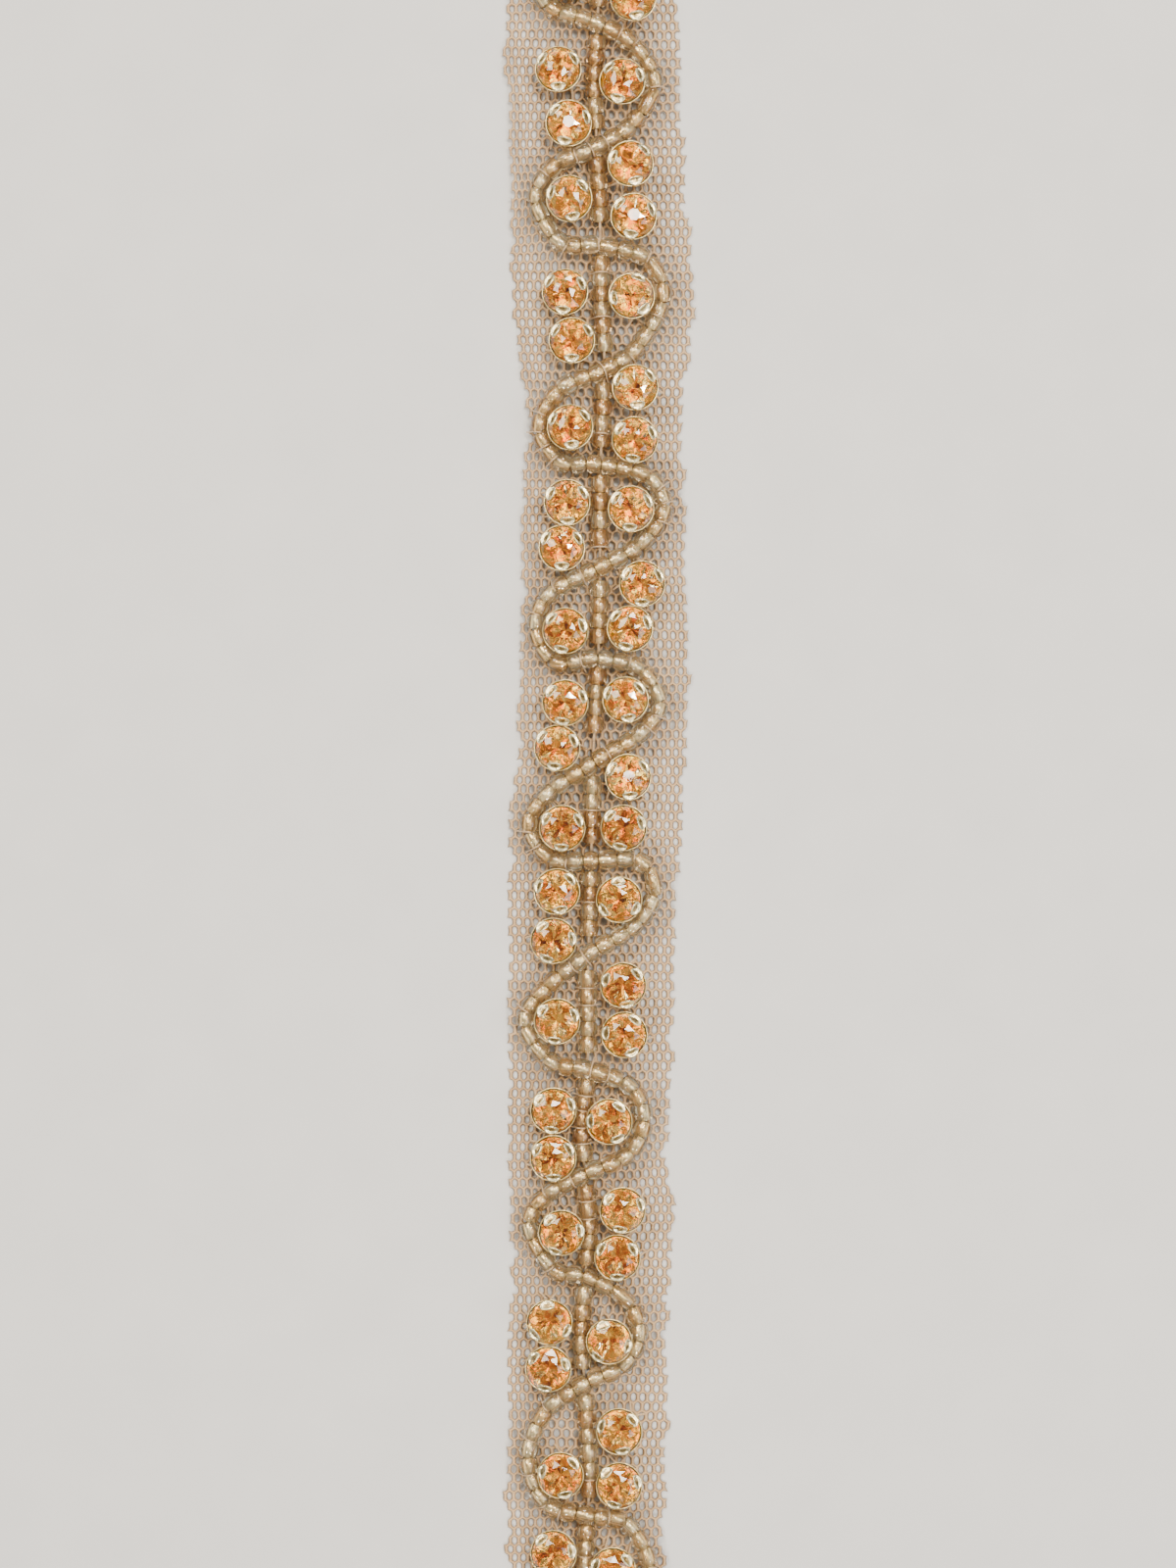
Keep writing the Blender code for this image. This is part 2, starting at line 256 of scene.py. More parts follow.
class Finish:
    """A material: its plain values go on the shader, and what varies is fed in by nodes."""

    def __init__(self, name, **plain):
        self.material = bpy.data.materials.new(name)
        self.material.use_nodes = True
        self.tree = self.material.node_tree
        self.shader = self.tree.nodes["Principled BSDF"]
        self.feed(self.shader, plain)

    def feed(self, node, sockets):
        """Links a Value to its socket, and writes a plain value into its own."""
        for name, value in sockets.items():
            socket = node.inputs[name.replace("_", " ") if isinstance(name, str) else name]
            if isinstance(value, Value):
                self.tree.links.new(value.socket, socket)
            elif isinstance(value, tuple) and len(value) == 3 and socket.type == "RGBA":
                socket.default_value = (*value, 1.0)
            else:
                socket.default_value = value

    def node(self, kind, settings=None, sockets=None, out=0):
        """Adds a node: its settings first, then the values or links of its sockets."""
        node = self.tree.nodes.new(kind)
        settings = dict(settings or {})
        stops = settings.pop("stops", ())
        for place, _ in stops[1:-1]:
            node.color_ramp.elements.new(place)
        for index, (place, colour) in enumerate(stops):
            node.color_ramp.elements[index].position = place
            node.color_ramp.elements[index].color = (*colour, 1.0)
        for name, value in settings.items():
            setattr(node, name, value)
        self.feed(node, sockets or {})
        return Value(self, node.outputs[out])

    def paint(self, **varying):
        """Feeds the shader's varying inputs."""
        self.feed(self.shader, varying)
        return self

    def speckle(self, per_mm, detail=2.0):
        """Soft noise from 0 to 1, with about so many grains to the millimetre."""
        place = self.node("ShaderNodeTexCoord", out="Object")
        sockets = {"Vector": place, "Scale": per_mm / MM, "Detail": detail}
        return self.node("ShaderNodeTexNoise", {}, sockets)

    def tone(self):
        """The tone that each point, facet or bead was given in its mesh, from 0 to 1; on the net,
        the foil and the claws it is painted light.
        """
        return self.node("ShaderNodeAttribute", {"attribute_name": "tone"}, out="Fac")

    def ramp(self, factor, *stops):
        """The colour that a factor picks between stops of (place, colour)."""
        return self.node("ShaderNodeValToRGB", {"stops": stops}, {0: factor})

    def bump(self, height, deep):
        """A bumped normal, so many metres deep where the height is 1."""
        sockets = {"Height": height, "Distance": deep, "Strength": 1.0}
        return self.node("ShaderNodeBump", {}, sockets)


print("one class for sums, one for finishes")

# %% [markdown]
# Beads, crystals and cups are each one shape set down many times. Linked copies would do, but
# every copy here has its own tone, and a tone lives in a mesh. So a shape is stamped into one
# mesh at all of its places, and each stamp writes the tone of its faces. Blender can hand a
# shape's faces over in another order each run, so they are sorted before tones are dealt out.

# %% Stamp one shape at many places
def shape_of(build):
    """The vertices and faces of the shape that build makes, in the same order each run."""
    made = bmesh.new()
    build(made)
    bmesh.ops.recalc_face_normals(made, faces=made.faces)
    corners = sorted(made.verts, key=lambda v: tuple(round(c, 7) for c in v.co))
    ranks = {v: rank for rank, v in enumerate(corners)}
    points = np.array([v.co for v in corners])
    faces = []
    for face in made.faces:
        around = [ranks[v] for v in face.verts]
        first = around.index(min(around))
        faces.append(around[first:] + around[:first])
    made.free()
    return points, sorted(faces)


def stamped(name, shape, places, tones, finish, smooth=True):
    """One mesh with the shape at each place. tones gives each copy's tone, or each face's."""
    points, faces = shape
    all_points, all_faces, all_tones = [], [], []
    for place, tone in zip(places, tones):
        first = len(all_points) * len(points)
        turned = points @ np.array(place.to_3x3()).T + np.array(place.translation)
        all_points.append(turned)
        all_faces += [[corner + first for corner in face] for face in faces]
        all_tones += list(np.broadcast_to(tone, len(faces)))
    mesh = bpy.data.meshes.new(name)
    mesh.from_pydata(np.concatenate(all_points).tolist(), [], all_faces)
    layer = mesh.attributes.new("tone", "FLOAT", "FACE")
    layer.data.foreach_set("value", np.array(all_tones, np.float32))
    mesh.polygons.foreach_set("use_smooth", [smooth] * len(mesh.polygons))
    mesh.materials.append(finish.material)
    piece = bpy.data.objects.new(name, mesh)
    bpy.context.collection.objects.link(piece)
    return piece


def turned_shape(profile, sides):
    """A closed profile of (radius, height) turned round Z."""

    def build(made):
        corners = [made.verts.new((radius, 0.0, height)) for radius, height in profile]
        edges = [made.edges.new(pair) for pair in zip(corners, corners[1:] + corners[:1])]
        bmesh.ops.spin(
            made,
            geom=corners + edges,
            cent=(0.0, 0.0, 0.0),
            axis=(0.0, 0.0, 1.0),
            angle=2 * math.pi,
            steps=sides,
            use_merge=True,
        )
        bmesh.ops.remove_doubles(made, verts=made.verts, dist=1e-6)

    return shape_of(build)


def bead_place(bead):
    """The matrix that turns a bead's Z along its thread and gives it its radius and length."""
    centre, heading, length, radius = bead
    turn = Vector(heading).to_track_quat("Z", "Y").to_matrix().to_4x4()
    size = Matrix.Diagonal((radius, radius, length / 2, 1.0))
    return Matrix.Translation(centre) @ turn @ size


print("shapes can now be stamped")

# %% [markdown]
# The net is a hexagonal mesh, its cells a little taller than wide. It could be a flat strip with
# an alpha pattern, but then the mesh would have no cut threads and no round holes. So it will be
# knitted cell by cell: each side of a cell is half of one thread, with its ridge on the
# cell's outline and its foot on the rim of the hole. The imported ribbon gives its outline.

# %% Measure the ribbon's outline
CELL_WIDTH = 0.88 * MM
CELL_ROW = 0.92 * MM
CELL_PEAK = 0.60 * MM
HOLE_HALF_WIDTH = 0.25 * MM
HOLE_HALF_HEIGHT = 0.415 * MM
NET_THREAD = 0.36 * MM
STATION_BAND = 0.06
BORDER_BAND = 0.6 * MM


def outline_rows(node):
    """Rows of y, left edge, right edge, left curl and right curl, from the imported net."""
    points = np.array([v.co for v in node.data.vertices])
    stations = np.unique(np.round(points[:, 1] / MM, 1))
    rows = []
    for station in stations:
        row = points[np.abs(points[:, 1] / MM - station) < STATION_BAND]
        left, right = row[:, 0].min(), row[:, 0].max()
        left_curl = row[row[:, 0] < left + BORDER_BAND, 2].min()
        right_curl = row[row[:, 0] > right - BORDER_BAND, 2].min()
        rows.append((station * MM, left, right, left_curl, right_curl))
    return np.array(rows)


OUTLINE = outline_rows(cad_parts["net_ribbon"])


def outline_at(y):
    """Left edge, right edge, left curl and right curl at y."""
    return [np.interp(y, OUTLINE[:, 0], OUTLINE[:, column]) for column in range(1, 5)]


# %% [markdown]
# The stitches hold the net up against the beads, and between them and past them it sinks back
# to the table. So a point's height comes from how far it is from the nearest bead or cup.
# The same distance pulls the cells towards each stitch, and a slow noise makes the rest uneven.
# Where a border curls up, more cells share its last two millimetres, so they look narrower.
# Blender's noise starts from the clock unless it has a seed, so it gets one here.

# %% Lay the net over the stitches
SEWN_REACH = 1.1 * MM
FALL_REACH = 2.4 * MM
BORDER_CURL = 1.3 * MM
TUCK_REACH = 2.2 * MM
TUCK_SHARE = 0.9
RESTING = NET_THREAD / 2
HELD = NET_TOP - NET_THREAD / 2
DRIFT_SCALE, DRIFT = 170, 0.3 * MM
JITTER_SCALE, JITTER = 1900, 0.04 * MM
PULL, PULL_REACH = 0.14, 1.6 * MM
noise.seed_set(5)
sewn_places = [bead[0] for bead in winding_beads + spine_beads] + list(stone_centres)
sewn = kdtree.KDTree(len(sewn_places))
for index, place in enumerate(sewn_places):
    sewn.insert((place[0], place[1], 0.0), index)
sewn.balance()


def eased(share):
    """A share held between 0 and 1, with a soft start and a soft end."""
    share = min(max(share, 0.0), 1.0)
    return share * share * (3 - 2 * share)


def tucked(inside, curl):
    """The distance inside a border that a flat net's distance becomes when the border curls."""
    if inside > TUCK_REACH:
        return inside
    tuck = TUCK_SHARE * curl
    return (inside + tuck) * TUCK_REACH / (TUCK_REACH + tuck)


def net_point(x, y):
    """Where the net's even pattern ends up: drawn towards the stitches, slack, and sunk."""
    left, right, left_curl, right_curl = outline_at(y)
    x = left + tucked(x - left, left_curl)
    x = right - tucked(right - x, right_curl)
    even = Vector((x, y, 0.0))
    nearest, _, gap = sewn.find(even)
    drift = noise.noise_vector(even * DRIFT_SCALE) * DRIFT
    jitter = noise.noise_vector(even * JITTER_SCALE) * JITTER
    pull = PULL * math.exp(-((gap / PULL_REACH) ** 2))
    point = even.lerp(Vector((nearest.x, nearest.y, 0.0)), pull)
    point += Vector((drift.x + jitter.x, drift.y + jitter.y, 0.0))
    sinking = eased((gap - SEWN_REACH) / FALL_REACH)
    point.z = HELD + (RESTING - HELD) * sinking
    for inside, curl in ((x - left, left_curl), (right - x, right_curl)):
        rise = eased(1 - inside / BORDER_CURL) * curl
        point.z = max(point.z, min(RESTING + rise, HELD)) if rise else point.z
    return point


print("net resting on the table at", round(RESTING / MM, 2), "mm")

# %% [markdown]
# Scissors cut straight through the cells, so the edge isn't a border but a row of cut thread
# ends. Each corner that has lost two of its three cells gets a short tapered spur where its
# cut thread was. That also closes the mesh, so the net is one solid with no open edge.

# %% Knit the net
WIDEST_HALF = 10.5 * MM
CUT_MARGIN = (0.25, 0.6)
END_MARGIN = 0.75
HOLE_LOOSENESS = (0.9, 1.06)
SPUR_SHARE = (0.25, 0.95)
SPUR_STRAY = 0.06 * MM
SIDE_NEIGHBOURS = ((-1, 1), (-2, 0), (-1, -1), (1, -1), (2, 0), (1, 1))
net_luck = random.Random(5)


def cell_corners(cell):
    """The six corners, counter-clockwise from the peak, each named so that cells share it."""
    column, row = cell
    return (
        ("peak", column, row),
        ("valley", column - 1, row + 1),
        ("peak", column - 1, row - 1),
        ("valley", column, row),
        ("peak", column + 1, row - 1),
        ("valley", column + 1, row + 1),
    )


def corner_place(corner):
    """Where a corner lies in the even pattern."""
    kind, column, row = corner
    up = CELL_PEAK if kind == "peak" else -CELL_PEAK
    return column * CELL_WIDTH / 2, row * CELL_ROW + up


def in_outline(cell):
    """Whether the scissors left a cell on the ribbon, with a wavering margin."""
    x, y = cell[0] * CELL_WIDTH / 2, cell[1] * CELL_ROW
    left, right, left_curl, right_curl = outline_at(y)
    margin = CELL_WIDTH * net_luck.uniform(*CUT_MARGIN)
    ends = TRIM_LENGTH / 2 * MM - CELL_ROW * END_MARGIN
    seen_left, seen_right = tucked(x - left, left_curl), tucked(right - x, right_curl)
    return abs(y) < ends and min(seen_left, seen_right) > margin


def hole_share(x, y):
    """How far out the hole's rim lies on the way from the cell's middle to a point."""
    return 1 / math.hypot(x / HOLE_HALF_WIDTH, y / HOLE_HALF_HEIGHT)


hexagon = [corner_place(corner) for corner in cell_corners((0, 0))]
ring_places = []
for here, there in zip(hexagon, hexagon[1:] + hexagon[:1]):
    ring_places += [here, ((here[0] + there[0]) / 2, (here[1] + there[1]) / 2)]
RING_SHARES = [hole_share(*place) for place in ring_places]


def knit_net():
    """The net's points, their painted-light tones, its triangles and the count of its cells."""
    half_rows = int(TRIM_LENGTH * MM / 2 / CELL_ROW) + 1
    half_columns = int(WIDEST_HALF / (CELL_WIDTH / 2))
    cells = set()
    for row in range(-half_rows, half_rows + 1):
        for column in range(-half_columns, half_columns + 1):
            if (column + row) % 2 == 0 and in_outline((column, row)):
                cells.add((column, row))
    points, tones, triangles, ridges, rings = [], [], [], {}, {}
    half_thread = Vector((0.0, 0.0, NET_THREAD / 2))

    def ridge(corner):
        """The top and the bottom point of the thread at a corner, and its place."""
        if corner not in ridges:
            place = net_point(*corner_place(corner))
            ridges[corner] = (len(points), len(points) + 1, place)
            points.extend((place + half_thread, place - half_thread))
            # Tone 1 on the thread's ridge, top and bottom, is a painted highlight.
            tones.extend((1.0, 1.0))
        return ridges[corner]

    def ring(cell, index):
        """One of the twelve points on the rim of a cell's hole."""
        index %= len(RING_SHARES)
        if (cell, index) not in rings:
            corners = [net_point(*corner_place(corner)) for corner in cell_corners(cell)]
            middle = sum(corners, Vector()) / 6
            loose = net_luck.uniform(*HOLE_LOOSENESS)
            for spot, share in enumerate(RING_SHARES):
                outer = corners[spot // 2]
                if spot % 2:
                    outer = (outer + corners[(spot // 2 + 1) % 6]) / 2
                rings[cell, spot] = len(points)
                points.append(middle + (outer - middle) * share * loose)
                # Tone 0 on the hole's rim is painted shade.
                tones.append(0.0)
        return rings[cell, index]

    def half_threads(cell, side):
        """The cell's half of the thread along one side: three triangles above, three below."""
        corners = cell_corners(cell)
        top_a, low_a, _ = ridge(corners[side])
        top_b, low_b, _ = ridge(corners[(side + 1) % 6])
        rims = [ring(cell, 2 * side + step) for step in range(3)]
        for a, b, (near, middle, far) in ((top_a, top_b, rims), (low_b, low_a, rims[::-1])):
            triangles.extend(((a, b, middle), (a, middle, near), (b, far, middle)))

    def spur(corner, lost):
        """Closes the gap between two lost cells at a corner with a cut thread end."""
        first, second = lost
        top, low, place = ridges[corner]
        shared = set(cell_corners(first)) & set(cell_corners(second)) - {corner}
        towards = net_point(*corner_place(shared.pop())) - place
        share = net_luck.uniform(*SPUR_SHARE)
        stray = Vector((net_luck.uniform(-1, 1), net_luck.uniform(-1, 1), 0.0)) * SPUR_STRAY
        tip = len(points)
        points.append(place + towards * share + stray)
        # The cut end's tip gets the ridge's painted highlight.
        tones.append(1.0)
        feet = [ring(cell, 2 * cell_corners(cell).index(corner)) for cell in lost]
        for a, b in ((feet[0], top), (top, feet[1]), (feet[1], low), (low, feet[0])):
            triangles.append((a, b, tip))

    lost_at = {}
    for cell in sorted(cells):
        for side, (columns, rows) in enumerate(SIDE_NEIGHBOURS):
            half_threads(cell, side)
            other = (cell[0] + columns, cell[1] + rows)
            if other in cells:
                continue
            half_threads(other, (side + 3) % 6)
            for corner in (cell_corners(cell)[side], cell_corners(cell)[(side + 1) % 6]):
                lost_at.setdefault(corner, set()).add(other)
    for corner, lost in sorted(lost_at.items()):
        if len(lost) == 2:
            spur(corner, sorted(lost))
    return points, tones, triangles, len(cells)


# The net's tones are painted light: a highlight on the ridges, shade on the hole rims.
net_points, net_painted_light, net_triangles, cell_count = knit_net()
print(cell_count, "cells,", len(net_triangles), "triangles")

# %% [markdown]
# Nude net is twisted nylon: matt and a little fuzzy. The tone written at each corner paints it
# pale on the top of each thread and darker down its sides, a painted highlight and painted shade,
# and two noises make it uneven, a slow one for the dye and a fine one for the fibres. One flat
# colour would look like moulded plastic, so the fine noise also raises a small bump.

# %% Finish the net
def net_finish():
    """Matt nude nylon, with a painted highlight on its ridges and painted shade down its sides."""
    nude = Finish("nude_net", Roughness=0.85, Sheen_Weight=0.35, Sheen_Roughness=0.5)
    dye = nude.speckle(0.25)
    fibres = nude.speckle(12.0, detail=4.0)
    # The tone's share is painted light, a highlight on the ridges and shade at the hole rims; dye
    # and fibres are the nylon's own unevenness.
    depth = 0.3 * dye + 0.35 * fibres + 0.35 * nude.tone()
    colour = nude.ramp(
        depth,
        (0.25, (0.17, 0.085, 0.035)),
        (0.5, (0.46, 0.28, 0.13)),
        (0.75, (0.76, 0.54, 0.31)),
    )
    return nude.paint(Base_Color=colour, Normal=nude.bump(fibres, 0.1 * MM))


net_mesh = bpy.data.meshes.new("knitted_net")
net_mesh.from_pydata([tuple(point) for point in net_points], [], net_triangles)
net_mesh.attributes.new("tone", "FLOAT", "POINT").data.foreach_set("value", net_painted_light)
outward = bmesh.new()
outward.from_mesh(net_mesh)
bmesh.ops.recalc_face_normals(outward, faces=outward.faces)
open_edges = sum(1 for edge in outward.edges if len(edge.link_faces) != 2)
outward.to_mesh(net_mesh)
outward.free()
net_mesh.polygons.foreach_set("use_smooth", [True] * len(net_mesh.polygons))
net_mesh.materials.append(net_finish().material)
net = bpy.data.objects.new("knitted_net", net_mesh)
bpy.context.collection.objects.link(net)
print("the net has", open_edges, "open edges")

# %% [markdown]
# A silver-lined seed bead is a short glass tube with rounded shoulders and a bright lining in
# its hole. The glass bends the light, so the narrow lining looks as wide as half the bead. Real
# refraction gives that for nothing, so the bead is clear glass round a metal tube, and the tube
# is a hair wider than the hole, so that the two touch.

# %% Make the glass beads and their linings
BEAD_SIDES = 16
HOLE_SHARE = 0.4
HOLE_LIP = 0.08
HOLE_MOUTH = 0.94
SHOULDER_STEPS = 9
SHOULDER_POWER = 0.55
LINING_SIDES = 12
LINING_PROFILE = (
    # radius and height as shares of the bead's radius and half length
    (0.41, -0.9), (0.41, 0.9), (0.3, 0.9), (0.3, -0.9),
)


def bead_profile():
    """The bead's closed outline as (radius, height), from -1 to 1 along its hole."""
    lip = HOLE_SHARE + HOLE_LIP
    rounded = []
    for step in range(SHOULDER_STEPS):
        angle = math.pi * step / (SHOULDER_STEPS - 1)
        bulge = math.sin(angle) ** SHOULDER_POWER
        rounded.append((lip + (1 - lip) * bulge, -math.cos(angle)))
    return [(HOLE_SHARE, -HOLE_MOUTH), *rounded, (HOLE_SHARE, HOLE_MOUTH)]


BEAD_SHAPE = turned_shape(bead_profile(), BEAD_SIDES)
LINING_SHAPE = turned_shape(LINING_PROFILE, LINING_SIDES)


def bead_glass(name, *colours):
    """Tinted glass whose tint changes from bead to bead and a little within each."""
    glass = Finish(name, Roughness=0.07, IOR=1.5, Transmission_Weight=0.95, Coat_Weight=0.3)
    cloud = glass.speckle(0.9)
    tint = glass.ramp(0.85 * glass.tone() + 0.15 * cloud, *colours)
    return glass.paint(Base_Color=tint, Normal=glass.bump(glass.speckle(1.6), 0.05 * MM))


def lining_metal():
    """Bright silver, warmed and dulled a little where it has aged."""
    lining = Finish("silver_lining", Metallic=1.0)
    age = lining.speckle(2.2)
    colour = lining.ramp(age, (0.3, (0.95, 0.74, 0.42)), (0.7, (1.0, 0.92, 0.66)))
    return lining.paint(Base_Color=colour, Roughness=0.18 + 0.25 * age)


winding_glass = bead_glass(
    "champagne_glass",
    (0.0, (0.93, 0.69, 0.37)),
    (0.5, (1.0, 0.86, 0.58)),
    (1.0, (1.0, 0.95, 0.76)),
)
spine_glass = bead_glass(
    "khaki_glass",
    (0.0, (0.76, 0.47, 0.23)),
    (0.5, (0.95, 0.74, 0.44)),
    (1.0, (1.0, 0.92, 0.68)),
)
silver = lining_metal()
tone_luck = random.Random(23)
bead_pieces = []
bead_rows = (("winding", winding_beads, winding_glass), ("spine", spine_beads, spine_glass))
for row, beads, glass in bead_rows:
    places = [bead_place(bead) for bead in beads]
    tones = [tone_luck.random() for _ in beads]
    bead_pieces.append(stamped(f"{row}_glass_beads", BEAD_SHAPE, places, tones, glass))
    bead_pieces.append(stamped(f"{row}_bead_linings", LINING_SHAPE, places, tones, silver))
print(len(winding_beads) + len(spine_beads), "glass beads, each with its lining")

# %% [markdown]
# The stones are foil-backed: clear peach glass, cut above and below its rim, with a mirror coat
# on the pointed back. What looks like crackle in them is the back's facets seen through the
# top's. A painted pattern would stay still as the view moves, so both sets of facets are cut
# here for real and the glass does the rest, but the foil's facets also carry painted reflections
# in their colours.

# %% Cut the crystal
CUT_SIDES = 8
GIRDLE_RADIUS = 2.2 * MM
GIRDLE_DROP = 0.92 * MM
GIRDLE_HEIGHT = STONE_TOP - NET_TOP - GIRDLE_DROP
GIRDLE_THICKNESS = 0.12 * MM
TABLE_RADIUS = 0.62 * MM
CROWN_HEIGHT = 0.86 * MM
STEP_RADIUS = 1.15 * MM
STEP_HEIGHT = 0.77 * MM
STAR_RADIUS = 1.7 * MM
STAR_HEIGHT = 0.52 * MM
BACK_DEPTH = 1.95 * MM
BACK_RADIUS = 1.1 * MM
BACK_RING_DEPTH = 0.62 * BACK_DEPTH
FOIL_SHARE = 0.97
FOIL_SIDES = 12
FOIL_THICKNESS = 0.05 * MM
FOIL_RINGS = (
    # radius and depth as shares of the back's, and the ring's turn in steps
    (1.0, 0.01, 0.0), (0.76, 0.27, 0.5), (0.52, 0.55, 0.0), (0.27, 0.76, 0.5),
)


def ring_of(made, sides, radius, height, turn=0.0):
    """A ring of corners, the first at turn, in steps of a circle."""
    angles = [2 * math.pi * (side + turn) / sides for side in range(sides)]
    return [made.verts.new((radius * math.cos(a), radius * math.sin(a), height)) for a in angles]


def facets_between(made, rim, waist, inner):
    """Sixteen thin triangles, eight kites and eight star or point facets from a rim of 16."""
    for k in range(CUT_SIDES):
        before, here = waist[k - 1], waist[k]
        made.faces.new((here, rim[2 * k], rim[2 * k + 1]))
        made.faces.new((here, rim[2 * k + 1], rim[(2 * k + 2) % len(rim)]))
        made.faces.new((before, rim[2 * k], here, inner[k]))
        if len(set(inner)) > 1:
            made.faces.new((here, inner[(k + 1) % CUT_SIDES], inner[k]))


def cut_crystal(made):
    """A brilliant cut: a small table, a two-step crown, the girdle and the pavilion."""
    upper, lower = (
        ring_of(made, 2 * CUT_SIDES, GIRDLE_RADIUS, height) for height in (GIRDLE_THICKNESS, 0.0)
    )
    table = ring_of(made, CUT_SIDES, TABLE_RADIUS, GIRDLE_THICKNESS + CROWN_HEIGHT, turn=0.5)
    step = ring_of(made, CUT_SIDES, STEP_RADIUS, GIRDLE_THICKNESS + STEP_HEIGHT)
    stars = ring_of(made, CUT_SIDES, STAR_RADIUS, GIRDLE_THICKNESS + STAR_HEIGHT, turn=0.5)
    made.faces.new(table)
    for k in range(CUT_SIDES):
        after = (k + 1) % CUT_SIDES
        made.faces.new((step[k], step[after], table[k]))
        made.faces.new((table[k], step[after], table[after]))
    facets_between(made, upper, stars, step)
    for k in range(2 * CUT_SIDES):
        after = (k + 1) % (2 * CUT_SIDES)
        made.faces.new((upper[k], upper[after], lower[after], lower[k]))
    back = ring_of(made, CUT_SIDES, BACK_RADIUS, -BACK_RING_DEPTH, turn=0.5)
    point = made.verts.new((0.0, 0.0, -BACK_DEPTH))
    facets_between(made, lower, back, [point] * CUT_SIDES)


def back_foil(made):
    """The mirror coat: rings of small triangles down to a point, as a thin closed shell."""
    radius, depth = GIRDLE_RADIUS * FOIL_SHARE, BACK_DEPTH * FOIL_SHARE
    rings = [
        ring_of(made, FOIL_SIDES, radius * wide, -depth * deep, turn)
        for wide, deep, turn in FOIL_RINGS
    ]
    point = made.verts.new((0.0, 0.0, -depth))
    for k in range(FOIL_SIDES):
        after = (k + 1) % FOIL_SIDES
        for level, (upper, lower) in enumerate(zip(rings, rings[1:])):
            late = level % 2
            made.faces.new((upper[k], upper[after], lower[(k + late) % FOIL_SIDES]))
            made.faces.new((lower[k], lower[after], upper[after - late]))
        made.faces.new((rings[-1][k], rings[-1][after], point))
    bmesh.ops.recalc_face_normals(made, faces=made.faces)
    bmesh.ops.solidify(made, geom=made.faces[:], thickness=-FOIL_THICKNESS)


CRYSTAL_SHAPE = shape_of(cut_crystal)
FOIL_SHAPE = shape_of(back_foil)
print(len(CRYSTAL_SHAPE[1]), "facets on a crystal,", len(FOIL_SHAPE[1]), "on its foil")

# %% [markdown]
# Under a lamp the foil's facets flash one by one, some nearly white, most orange, a few dark
# amber or lilac. Mirrors alone would need a room to reflect. So each facet gets a seeded tone,
# and a ramp turns the tones into those colours as painted reflections: near-white and lilac
# painted glints, dark amber painted shade, and orange that is partly the stone's own colour.
# That keeps the mosaic lively in soft light too. The glass above it adds the peach tint and the
# gloss.

# %% Finish the crystal and its foil
def peach_glass():
    """Clear glass with a peach tint, polished, with a little wear."""
    glass = Finish("peach_crystal", IOR=1.58, Transmission_Weight=1.0, Coat_Weight=0.4)
    wear = glass.speckle(1.2)
    tint = glass.ramp(wear, (0.3, (1.0, 0.80, 0.44)), (0.75, (1.0, 0.90, 0.62)))
    return glass.paint(Base_Color=tint, Roughness=0.01 + 0.03 * wear)


def facet_foil():
    """Metal foil, each facet coloured by its tone: mostly orange, dark amber facets as painted
    shade, and near-white and lilac facets as painted glints.
    """
    foil = Finish("foiled_back", Metallic=0.85)
    # The ramp's stops are painted reflections: dark amber painted shade, orange partly the stone's
    # own colour, near-white and lilac painted glints.
    colour = foil.ramp(
        foil.tone(),
        (0.04, (0.16, 0.035, 0.003)),
        (0.2, (0.52, 0.17, 0.02)),
        (0.4, (0.93, 0.48, 0.06)),
        (0.6, (1.0, 0.68, 0.17)),
        (0.76, (1.0, 0.84, 0.36)),
        (0.86, (1.0, 0.98, 0.66)),
        (0.98, (0.80, 0.66, 1.0)),
    )
    return foil.paint(Base_Color=colour, Roughness=0.10 + 0.12 * foil.speckle(3.0))


TILT = math.radians(5.0)
FACET_LUCK = 0.75
# The foil's outer facets get a painted highlight, this much lighter.
RIM_PAINTED_HIGHLIGHT = 0.3
stone_luck = random.Random(42)


def foil_facet_tones():
    """A seeded tone for each of one foil's facets, with a painted highlight towards the rim."""
    points, faces = FOIL_SHAPE
    out = [np.linalg.norm(points[face].mean(axis=0)[:2]) / GIRDLE_RADIUS for face in faces]
    return [FACET_LUCK * stone_luck.random() + RIM_PAINTED_HIGHLIGHT * share for share in out]


def seat(centre, turn):
    """A stone's own frame: on the net, turned as sewn and tilted by a few degrees."""
    lean = Matrix.Rotation(stone_luck.uniform(-TILT, TILT), 4, "X")
    lean @= Matrix.Rotation(stone_luck.uniform(-TILT, TILT), 4, "Y")
    upright = Matrix.Translation(centre + Vector((0.0, 0.0, NET_TOP)))
    return upright @ lean @ Matrix.Rotation(turn, 4, "Z")


SEATS = [seat(centre, turn) for centre, turn in STONES]
at_girdle = Matrix.Translation((0.0, 0.0, GIRDLE_HEIGHT))
cut_turns = [Matrix.Rotation(stone_luck.uniform(0, math.tau), 4, "Z") for _ in SEATS]
cut_places = [place @ at_girdle @ turn for place, turn in zip(SEATS, cut_turns)]
# Each foil's facet tones are painted reflections, lighter towards the rim.
foil_painted_reflections = [foil_facet_tones() for _ in SEATS]
even_tones = [0.5] * len(SEATS)
crystals = stamped("crystals", CRYSTAL_SHAPE, cut_places, even_tones, peach_glass(), smooth=False)
foils = stamped("crystal_foils", FOIL_SHAPE, cut_places, foil_painted_reflections, facet_foil(), smooth=False)
print(len(SEATS), "crystals set in place")

# %% [markdown]
# The cup is stamped from thin brass: a round wall that widens to a rolled rim, and three claws
# folded over the stone. A claw is a strap up the wall that ends in a small dished leaf lying
# along the rim. The leaf's faces get tones that run from painted shade in its hollow to a painted
# highlight on its edge. The leaf could be a flat oval, but only a dished one catches a line of
# light along its edge, so it is a grid bent to shape.

